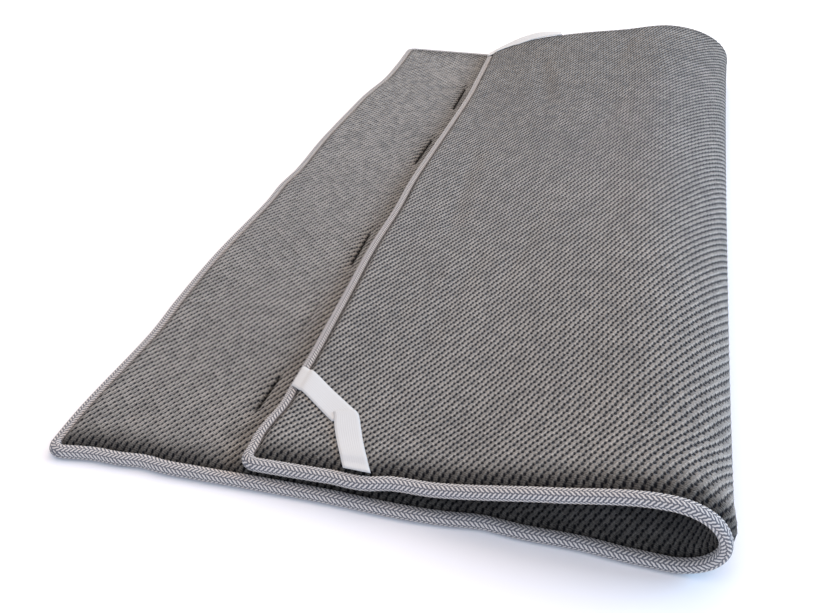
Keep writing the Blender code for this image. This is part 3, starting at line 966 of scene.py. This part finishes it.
def groove_lattice(settings, s_from, s_to, t_from, t_to):
    """Points of the knit's lattice, as arrays of pattern places across and along and of heights."""
    sides = np.array([(0.0, row.half_width, 1.0 - row.half_width) for row in GROOVE]).T
    heights = RIDGE_RISE - np.array([(row.deep, row.right, row.left) for row in GROOVE]).T
    shares, asides = [np.array(values) for values in list(zip(*GROOVE))[:2]]
    s, i = np.divmod(np.arange((s_to - s_from) * GROOVE_COLUMNS), GROOVE_COLUMNS)
    t, j = np.divmod(np.arange((t_to - t_from) * len(GROOVE)), len(GROOVE))
    s = s_from + s[:, None] + sides[i][:, j] + asides[j]
    t = t_from + t + shares[j] + np.zeros_like(s)
    across = (s + t) * settings.column_pitch
    along = (GROOVE_SLANT * t - (1 - GROOVE_SLANT) * s) * settings.cell_length
    return across, along, heights[i][:, j]


def share_of(values, start, end):
    """How far values lie between a start and an end, from 0 to 1."""
    return np.clip((values - start) / (end - start), 0, 1)


def shade_on(across, along, points, outer):
    """How much of the light doesn't reach points of one face of the knit, from 0 to 1."""
    from_end = np.minimum(along, PAD_LENGTH - along)
    shade = END_SHADE * (1 - share_of(from_end, TAPE_REACH, TAPE_REACH + END_SHADE_REACH)) ** 1.5
    by_side = 1 - share_of(across, TAPE_REACH, TAPE_REACH + SIDE_SHADE_REACH)
    shade = np.maximum(shade, SIDE_SHADE * by_side**2)
    if outer:
        return np.maximum(shade, BACK_SHADE * share_of(along, BACK_SHADE_FROM, BACK_SHADE_TO))
    places = (points + np.array(ORIGIN))[:, :2].tolist()
    dents = np.array([crease_depth(PINCHES, x, y) for x, y in places]) / PINCH_DEPTH
    shade = np.maximum(shade, PINCH_SHADE * share_of(dents, PINCH_SHADE_FROM, PINCH_SHADE_TO))
    beside = np.array([edge_at(FLAP_EDGE, y) - x for x, y in places])
    return np.maximum(shade, BESIDE_SHADE * (1 - share_of(beside, BESIDE_SHADE_FROM, BESIDE_SHADE_TO)))


def groove_mesh(name, rows, lattice, outer, chosen):
    """A mesh of the lattice's quads whose middles are chosen, laid on one face of the cloth."""
    pattern_across, pattern_along, heights = lattice
    if outer:
        along = -pattern_along
        across = -(pattern_across + GRAIN_LEAN * along) * OUTER_STRETCH
    else:
        along = pattern_along
        across = pattern_across - GRAIN_LEAN * along
    across, along = np.maximum(across, 0.0), np.clip(along, 0.0, PAD_LENGTH)
    count = across.shape[1]
    first = (np.arange(across.shape[0] - 1)[:, None] * count + np.arange(count - 1)).ravel()
    quads = first[:, None] + np.array([0, count, count + 1, 1])
    flat = np.stack([across.ravel(), along.ravel()], axis=-1)
    diagonals = flat[quads[:, 2]] - flat[quads[:, 0]], flat[quads[:, 3]] - flat[quads[:, 1]]
    doubled = diagonals[0][:, 0] * diagonals[1][:, 1] - diagonals[0][:, 1] * diagonals[1][:, 0]
    middle = flat[quads].mean(axis=1)
    quads = quads[(doubled > MIN_QUAD) & chosen(middle[:, 0], middle[:, 1])]
    used, quads = np.unique(quads, return_inverse=True)
    quads = quads.reshape(-1, 4)
    found = on_cloth(rows, *flat[used].T)
    lift = (found[:, 6] + heights.ravel()[used]) * (-1 if outer else 1)
    points = found[:, :3] + found[:, 3:6] * lift[:, None] - np.array(ORIGIN)
    mesh = bpy.data.meshes.new(name)
    mesh.from_pydata(points.tolist(), [], quads.tolist())
    place = outer_pattern if outer else top_pattern
    uvs = np.stack(place(*flat[used].T), axis=-1)[quads.ravel()]
    mesh.uv_layers.new(name="cloth").data.foreach_set("uv", uvs.ravel())
    shade = shade_on(*flat[used].T, points, outer)
    mesh.attributes.new("shade", "FLOAT", "POINT").data.foreach_set("value", shade)
    mesh.shade_smooth()
    return mesh


class TOPPER_OT_knit_panel(bpy.types.Operator):
    """Builds the folded panel of spacer knit and the grooves of its two faces"""

    bl_idname = "topper.knit_panel"
    bl_label = "Knit panel"

    def execute(self, context):
        settings = context.scene.topper_knit
        material = knit_material(settings)
        middle, table = build_middle()
        panel = object_from("knit_panel", shell_of(table), material)
        finished(panel, "pad", slot="spacer_knit")
        rows = cloth_rows(table, False), cloth_rows(table, True)
        middle.free()
        width = rows[0][-1][0][-1] + GRAIN_LEAN * PAD_LENGTH
        columns = math.ceil(width / settings.column_pitch)
        cells = math.ceil(PAD_LENGTH / settings.cell_length)
        s_from, s_to = -cells - 1, math.ceil(GROOVE_SLANT * columns) + 1
        t_from, t_to = -1, math.ceil((1 - GROOVE_SLANT) * columns) + cells + 1
        lattices = (
            groove_lattice(settings, s_from, s_to, t_from, t_to),
            groove_lattice(settings, -s_to, -s_from, -t_to, -t_from),
        )
        made = []
        for name, outer, chosen in (
            ("lower_knit_face", False, top_covered),
            ("flap_knit_face_front", True, lambda u, v: (u < OUTER_COVER) & (v < OUTER_SPLIT)),
            ("flap_knit_face_back", True, lambda u, v: (u < OUTER_COVER) & (v >= OUTER_SPLIT)),
        ):
            mesh = groove_mesh(name, rows[outer], lattices[outer], outer, chosen)
            made.append(object_of(name, mesh, material))
            finished(made[-1], slot="spacer_knit")
        return {"FINISHED"}


# The tape round the edge.


def tape_profile():
    """The tape's cross-section: its outer face as (outward, up, across), and its inside as (outward, up)."""
    upper = list(TAPE_LIP)
    arc = []
    for i in range(TAPE_ROUND_STEPS + 1):
        angle = math.pi * (0.5 - i / TAPE_ROUND_STEPS)
        arc.append((TAPE_REACH * math.cos(angle), TAPE_HALF_HEIGHT * math.sin(angle)))
    outer = upper + arc + [(out, -up) for out, up in reversed(upper)]
    across, points = 0.0, []
    for i, (out, up) in enumerate(outer):
        if i:
            across += math.dist(outer[i - 1], outer[i])
        points.append((out, up, across))
    scale = TAPE_WIDTH / across
    points = [(out, up, at * scale) for out, up, at in points]
    lip = TAPE_LIP[0][0]
    lower = [(lip, GAP - TAPE_CHANNEL), (GAP, -TAPE_CHANNEL)]
    return points, lower + [(GAP, TAPE_CHANNEL), (lip, TAPE_CHANNEL - GAP)]


def tape_stations():
    """The panel's edge from the tape's join, once round, as (point, outward, up, distance along)."""
    middle, _ = build_middle()
    ring = border_of(middle)
    middle.free()
    places = [point for point, _, _ in ring]
    on_front = [i for i, at in enumerate(places) if at.y < TAPE_JOIN_DEPTH and at.z < PAD_THICKNESS]
    start = min(on_front, key=lambda i: abs(places[i].x - TAPE_JOIN_X))
    ring = ring[start:] + ring[:start]
    along, stations = 0.0, []
    for i, (point, outward, up) in enumerate(ring):
        if i:
            along += (point - ring[i - 1][0]).length
        stations.append((point, outward, up, along))
    total = along + (ring[0][0] - ring[-1][0]).length
    return stations, total


def rolled(outward, up, along):
    """The tape's directions turned a little about the edge, as hand-sewn tape lies.

    The turn follows a noise along TAPE_ROLL_LINE, one of its many lines.
    """
    angle = TAPE_ROLL * noise.noise(Vector((along / TAPE_ROLL_SPAN, TAPE_ROLL_LINE, 0.0)))
    return (
        outward * math.cos(angle) + up * math.sin(angle),
        up * math.cos(angle) - outward * math.sin(angle),
    )


def lap_at(along, total):
    """How far the tape swells where its end lies over its start."""
    return TAPE_JOIN_SWELL * smooth_step(1 - (total - along) / TAPE_JOIN_LAP)


def build_tape():
    """The tape as a closed ring of its cross-section, with UVs along and across it."""
    outer, inside = tape_profile()
    stations, total = tape_stations()
    bm = bmesh.new()
    layer = bm.loops.layers.uv.new("tape")
    rings = []
    for point, outward, up, along in stations:
        out_dir, up_dir = rolled(outward, up, along)
        swell = 1 + lap_at(along, total) / TAPE_HALF_HEIGHT
        places = [point + out_dir * out * swell + up_dir * rise * swell for out, rise, _ in outer]
        places += [point + outward * out + up * rise for out, rise in inside]
        rings.append([bm.verts.new(place) for place in places])
    across = [at for _, _, at in outer] + [TAPE_WIDTH] + [TAPE_WIDTH / 2] * 2 + [0.0]
    lengths = [along for _, _, _, along in stations] + [total]
    count = len(rings[0])
    for i, ring in enumerate(rings):
        following = rings[(i + 1) % len(rings)]
        for j in range(count):
            k = (j + 1) % count
            face = bm.faces.new((ring[j], ring[k], following[k], following[j]))
            for loop in face.loops:
                place = j if loop.vert in (ring[j], following[j]) else k
                length = lengths[i] if loop.vert in (ring[j], ring[k]) else lengths[i + 1]
                loop[layer].uv = (length, across[place])
    bmesh.ops.recalc_face_normals(bm, faces=bm.faces)
    return bm


def on_tape(along, across, rise):
    """Points above the tape's outer face, for arrays of places along and across it and of heights."""
    stations, total = tape_stations()
    rows = []
    for point, outward, up, at in stations:
        out_dir, up_dir = rolled(outward, up, at)
        swell = 1 + lap_at(at, total) / TAPE_HALF_HEIGHT
        rows.append((at, *point, *(out_dir * swell), *(up_dir * swell)))
    rows.append((total, *rows[0][1:]))
    rows = np.array(rows).T
    frames = [np.interp(along % total, rows[0], row) for row in rows[1:]]
    profile = np.array(tape_profile()[0]).T
    steps = [np.gradient(values) for values in profile[:2]]
    size = np.hypot(*steps)
    out = np.interp(across, profile[2], profile[0]) + rise * np.interp(across, profile[2], -steps[1] / size)
    up = np.interp(across, profile[2], profile[1]) + rise * np.interp(across, profile[2], steps[0] / size)
    return np.stack([frames[k] + frames[3 + k] * out + frames[6 + k] * up for k in range(3)], axis=-1)


def rib_mesh(name, settings):
    """All the ribs of the herringbone, each three points wide, with a row for each row of the RIB table."""
    _, total = tape_stations()
    count = round(total / settings.rib_pitch)
    pitch = total / count
    zone, rib, row, side = np.meshgrid(
        np.arange(RIB_ZONES), np.arange(count), np.arange(len(RIB)), np.arange(-1, 2), indexing="ij"
    )
    share, width, height = [np.array(values)[row] for values in zip(*RIB)]
    odd = zone % 2
    slant = settings.zone_width * np.where(odd == 1, 1 - share, share)
    along = (rib - 0.5 * odd) * pitch + slant + side * width * RIB_HALF_WIDTH * pitch
    across = TAPE_WIDTH / 2 + settings.zone_width * (zone - RIB_ZONES / 2 + share)
    rise = np.where(side == 0, RIB_RISE * height, 0.0) - RIB_SUNK
    points = on_tape(along.ravel(), across.ravel(), rise.ravel()) - np.array(ORIGIN)
    per_rib = 3 * len(RIB)
    corners = [3 * r + c for r in range(len(RIB) - 1) for c in range(2)]
    quads = np.array([(at, at + 3, at + 4, at + 1) for at in corners])
    quads = (np.arange(RIB_ZONES * count)[:, None, None] * per_rib + quads).reshape(-1, 4)
    mesh = bpy.data.meshes.new(name)
    mesh.from_pydata(points.tolist(), [], quads.tolist())
    flat = np.stack([along.ravel(), across.ravel()], axis=-1)[quads.ravel()]
    mesh.uv_layers.new(name="tape").data.foreach_set("uv", flat.ravel())
    # Painted shade: each rib's sides and ends are darker, as the shade where it rounds down.
    crest = np.where(side == 0, RIB_END_LIGHT + (1 - RIB_END_LIGHT) * height, RIB_SIDE_LIGHT).ravel()
    mesh.attributes.new("crest", "FLOAT", "POINT").data.foreach_set("value", crest)
    mesh.shade_smooth()
    return mesh


class TOPPER_OT_edge_tape(bpy.types.Operator):
    """Builds the herringbone tape round the panel's edge"""

    bl_idname = "topper.edge_tape"
    bl_label = "Edge tape"

    def execute(self, context):
        settings = context.scene.topper_tape
        tape = object_from("herringbone_edge_tape", build_tape(), tape_material(settings))
        finished(tape, "edge_binding", slot="herringbone_tape")
        mesh = rib_mesh("herringbone_ribs", settings)
        ribs = object_of("herringbone_ribs", mesh, tape.data.materials[0])
        finished(ribs, slot="herringbone_tape")
        _, total = tape_stations()
        return {"FINISHED"}


# The straps.


def strap_height(x, y):
    """Height of a strap's underside where it lies on the flap."""
    depth = min(max(y, 0.0), PAD_LENGTH)
    section = section_at(depth)
    flap = edge_at(FLAP_EDGE, depth)
    part = min(max((x - flap) / (section.crown - flap), 0.0), 1.0)
    from_end = min(y - FLAP_FRONT_SET_BACK, PAD_LENGTH - FLAP_BACK_SET_BACK - y)
    outer, _ = half_thickness(x - flap, from_end)
    return flap_height(section, part) + max(outer, HALF) + GAP


def add_band(bm, rungs, thickness, start=0.0):
    """A flat band through the rungs, as a closed solid with UVs along and across it.

    start is how far along the strap the band starts. Gives how far along it ends.
    """
    layer = bm.loops.layers.uv.verify()
    count = STRAP_ROWS_PER_RUNG * (len(rungs) - 1)
    knots = list(range(len(rungs)))
    rows, lengths = [], [start]
    for step in range(count + 1):
        place = step / STRAP_ROWS_PER_RUNG
        values = [through(knots, [rung[i] for rung in rungs], place) for i in range(6)]
        row = []
        for column in range(STRAP_COLUMNS):
            share = column / (STRAP_COLUMNS - 1)
            x = values[0] + (values[2] - values[0]) * share
            y = values[1] + (values[3] - values[1]) * share
            rise = values[4] + (values[5] - values[4]) * share
            row.append(Vector((x, y, strap_height(x, y) + rise)))
        if rows:
            middle = STRAP_COLUMNS // 2
            lengths.append(lengths[-1] + (row[middle] - rows[-1][middle]).length)
        rows.append(row)
    up = Vector((0.0, 0.0, thickness))
    under = [[bm.verts.new(point) for point in row] for row in rows]
    upper = [[bm.verts.new(point + up) for point in row] for row in rows]
    last = STRAP_COLUMNS - 1

    def add_face(corners, places):
        face = bm.faces.new(corners)
        for loop in face.loops:
            r, c = places[corners.index(loop.vert)]
            loop[layer].uv = (lengths[r], STRAP_WIDTH * c / last)

    for r in range(count):
        for c in range(last):
            around = ((r, c), (r + 1, c), (r + 1, c + 1), (r, c + 1))
            add_face([upper[i][j] for i, j in around], around)
            around = around[::-1]
            add_face([under[i][j] for i, j in around], around)
        add_face([under[r][0], under[r + 1][0], upper[r + 1][0], upper[r][0]], [(r, 0), (r + 1, 0)] * 2)
        ends = [(r, last), (r + 1, last)] * 2
        add_face([upper[r][last], upper[r + 1][last], under[r + 1][last], under[r][last]], ends)
    for r in (0, count):
        for c in range(last):
            corners = [under[r][c], under[r][c + 1], upper[r][c + 1], upper[r][c]]
            add_face(corners, [(r, c), (r, c + 1), (r, c + 1), (r, c)])
    return lengths[-1]


class TOPPER_OT_corner_straps(bpy.types.Operator):
    """Builds the elastic straps across the flap's two free corners"""

    bl_idname = "topper.corner_straps"
    bl_label = "Corner straps"

    def execute(self, context):
        settings = context.scene.topper_strap
        material = elastic_material(settings)
        front = bmesh.new()
        front.loops.layers.uv.new("band")
        leg_end = add_band(front, FRONT_STRAP_LEG, settings.thickness)
        add_band(front, FRONT_STRAP_FOOT, settings.thickness, leg_end)
        back = bmesh.new()
        back.loops.layers.uv.new("band")
        add_band(back, BACK_STRAP, settings.thickness)
        for name, bm, node, length in (
            ("front_elastic_strap", front, "front_corner_strap", FRONT_STRAP_LENGTH),
            ("back_elastic_strap", back, "back_corner_strap", BACK_STRAP_LENGTH),
        ):
            bmesh.ops.recalc_face_normals(bm, faces=bm.faces)
            strap = object_from(name, bm, material)
            finished(strap, node, slot="woven_elastic")
        return {"FINISHED"}


# The sewing.


def stitch_tree():
    """Geometry nodes that lay stitches along a path of edges whose points carry an up direction."""
    tree = bpy.data.node_groups.new("Stitches along a path", "GeometryNodeTree")
    face = tree.interface
    face.new_socket("Path", in_out="INPUT", socket_type="NodeSocketGeometry")
    for name in ("Pitch", "Length", "Width"):
        face.new_socket(name, in_out="INPUT", socket_type="NodeSocketFloat")
    face.new_socket("Thread", in_out="INPUT", socket_type="NodeSocketMaterial")
    face.new_socket("Stitches", in_out="OUTPUT", socket_type="NodeSocketGeometry")
    given = add_node(tree, "NodeGroupInput").outputs
    path = add_node(tree, "GeometryNodeMeshToCurve", {"Mesh": given["Path"]}).outputs[0]
    spaced = add_node(
        tree, "GeometryNodeResampleCurve", {"Curve": path, "Length": given["Pitch"]}, mode="LENGTH"
    ).outputs[0]
    named = "GeometryNodeInputNamedAttribute"
    up = add_node(tree, named, {"Name": "up"}, data_type="FLOAT_VECTOR").outputs[0]
    tangent = add_node(tree, "GeometryNodeInputTangent").outputs[0]
    align = "FunctionNodeAlignRotationToVector"
    turned = add_node(tree, align, {"Vector": up}, axis="Z").outputs[0]
    inputs = {"Rotation": turned, "Vector": tangent}
    turned = add_node(tree, align, inputs, axis="X", pivot_axis="Z").outputs[0]
    bead = add_node(tree, "GeometryNodeMeshUVSphere", {"Segments": 6, "Rings": 4, "Radius": 0.5}).outputs[0]
    size = add_node(
        tree, "ShaderNodeCombineXYZ", {0: given["Length"], 1: given["Width"], 2: given["Width"]}
    ).outputs[0]
    placed = add_node(
        tree,
        "GeometryNodeInstanceOnPoints",
        {"Points": spaced, "Instance": bead, "Rotation": turned, "Scale": size},
    ).outputs[0]
    real = add_node(tree, "GeometryNodeRealizeInstances", {0: placed}).outputs[0]
    smooth = add_node(tree, "GeometryNodeSetShadeSmooth", {0: real}).outputs[0]
    threaded = add_node(tree, "GeometryNodeSetMaterial", {"Geometry": smooth, "Material": given["Thread"]})
    add_node(tree, "NodeGroupOutput", {0: threaded.outputs[0]})
    return tree


def path_object(name, runs):
    """Bare edges, a closed ring for each run of (point, up), with the up directions on their points."""
    points, ups, edges = [], [], []
    for run in runs:
        first = len(points)
        points += [point - ORIGIN for point, _ in run]
        ups += [up for _, up in run]
        edges += [(i, i + 1) for i in range(first, len(points) - 1)]
        edges.append((len(points) - 1, first))
    mesh = bpy.data.meshes.new(name)
    mesh.from_pydata(points, edges, [])
    layer = mesh.attributes.new("up", "FLOAT_VECTOR", "POINT")
    layer.data.foreach_set("vector", [value for up in ups for value in up])
    return object_of(name, mesh)


def grown(name, path, tree, values):
    """The mesh that a node tree makes of a path, as a plain object. The path is removed."""
    modifier = path.modifiers.new("Stitches", "NODES")
    modifier.node_group = tree
    sockets = {item.name: item.identifier for item in tree.interface.items_tree if item.in_out == "INPUT"}
    for key, value in values.items():
        modifier[sockets[key]] = value
    graph = bpy.context.evaluated_depsgraph_get()
    mesh = bpy.data.meshes.new_from_object(path.evaluated_get(graph))
    mesh.name = name
    path.modifiers.remove(modifier)
    bpy.data.objects.remove(path)
    if not mesh.polygons:
        raise RuntimeError(f"{name} came out empty")
    return object_of(name, mesh)


class TOPPER_OT_sewing(bpy.types.Operator):
    """Sews the tape's two edges"""

    bl_idname = "topper.sewing"
    bl_label = "Sewing"

    def execute(self, context):
        settings = context.scene.topper_sewing
        tree = stitch_tree()
        values = {"Pitch": settings.pitch, "Length": settings.length, "Width": settings.width}
        values["Thread"] = thread_material(settings)
        out, rise = TAPE_LIP[SEWN_AT]
        stations, _ = tape_stations()
        runs = []
        for side in (1, -1):
            run = []
            for point, outward, up, along in stations:
                out_dir, up_dir = rolled(outward, up, along)
                run.append((point + out_dir * out + up_dir * (rise * side), up_dir * side))
            runs.append(run)
        stitches = grown("tape_stitches", path_object("tape_stitch_path", runs), tree, values)
        finished(stitches, slot="herringbone_tape")
        return {"FINISHED"}


# The stage.

Softbox = namedtuple("Softbox", "name x y z size power hex_colour")
SOFTBOXES = (
    Softbox("right_window", 3.0, 0.0, 1.3, 1.6, 84.0, "A0D2FF"),
    Softbox("back_softbox", -0.5, 3.2, 1.8, 2.0, 40.0, "FFFCF4"),
    Softbox("front_fill", 0.3, -3.2, 0.9, 2.0, 12.0, "A8C8FF"),
)
SKY_TILT, SKY_TURN = math.radians(-24), math.radians(8)
SKY_SPREAD = math.radians(80)
SKY_STRENGTH, SKY_COLOUR = 1.15, "FFC880"
AIR_STRENGTH, AIR_COLOUR = 1.02, "E8EFFF"
FLOOR_DROP, FLOOR_SIDES = 0.0005, 96


class TOPPER_OT_stage(bpy.types.Operator):
    """Sets out the floor, the soft lights and the camera"""

    bl_idname = "topper.stage"
    bl_label = "Stage"

    def execute(self, context):
        scene = context.scene
        settings = scene.topper_stage
        bm = bmesh.new()
        bmesh.ops.create_circle(bm, cap_ends=True, segments=FLOOR_SIDES, radius=settings.floor_radius)
        mesh = bpy.data.meshes.new("studio_floor")
        bm.to_mesh(mesh)
        bm.free()
        floor = object_of("studio_floor", mesh, floor_material(settings))
        floor.location.z = -FLOOR_DROP
        for box in SOFTBOXES:
            data = bpy.data.lights.new(box.name, "AREA")
            data.size, data.energy, data.color = box.size, box.power, linear(box.hex_colour)[:3]
            light = object_of(box.name, data)
            light.location = (box.x, box.y, box.z)
            light.rotation_euler = (-light.location).to_track_quat("-Z", "Y").to_euler()
        sky = bpy.data.lights.new("overhead_diffuser", "SUN")
        sky.energy, sky.angle, sky.color = SKY_STRENGTH, SKY_SPREAD, linear(SKY_COLOUR)[:3]
        object_of("overhead_diffuser", sky).rotation_euler = (SKY_TILT, SKY_TURN, 0.0)
        world = bpy.data.worlds.new("studio_air")
        world.use_nodes = True
        air = world.node_tree.nodes["Background"]
        air.inputs["Color"].default_value = linear(AIR_COLOUR)
        air.inputs["Strength"].default_value = AIR_STRENGTH
        scene.world = world
        scene.view_settings.view_transform = "Standard"
        camera = object_of("camera", bpy.data.cameras.new("camera"))
        camera.data.lens = settings.lens
        camera.location = settings.place
        camera.rotation_euler = (math.pi / 2 - settings.pitch, 0.0, settings.turn)
        scene.camera = camera
        return {"FINISHED"}


class TOPPER_PT_parts(bpy.types.Panel):
    """Lists the topper's pieces"""

    bl_idname = "TOPPER_PT_parts"
    bl_label = "Mattress topper"
    bl_space_type = "VIEW_3D"
    bl_region_type = "UI"
    bl_category = "Topper"

    def draw(self, context):
        for operator in OPERATORS:
            self.layout.operator(operator.bl_idname)


SETTINGS = {
    "topper_knit": KnitSettings,
    "topper_tape": TapeSettings,
    "topper_strap": StrapSettings,
    "topper_sewing": SewingSettings,
    "topper_stage": StageSettings,
}
OPERATORS = (
    TOPPER_OT_knit_panel,
    TOPPER_OT_edge_tape,
    TOPPER_OT_corner_straps,
    TOPPER_OT_sewing,
    TOPPER_OT_stage,
)


def register():
    """Registers the settings, the operators and the panel."""
    for name, group in SETTINGS.items():
        bpy.utils.register_class(group)
        setattr(bpy.types.Scene, name, PointerProperty(type=group))
    for cls in (*OPERATORS, TOPPER_PT_parts):
        bpy.utils.register_class(cls)


def unregister():
    """Takes them out again."""
    for cls in (TOPPER_PT_parts, *reversed(OPERATORS)):
        bpy.utils.unregister_class(cls)
    for name, group in reversed(SETTINGS.items()):
        delattr(bpy.types.Scene, name)
        bpy.utils.unregister_class(group)


def main():
    """Builds the topper and its stage."""
    register()
    bpy.ops.topper.knit_panel()
    bpy.ops.topper.edge_tape()
    bpy.ops.topper.corner_straps()
    bpy.ops.topper.sewing()
    bpy.ops.topper.stage()


if __name__ == "__main__":
    main()
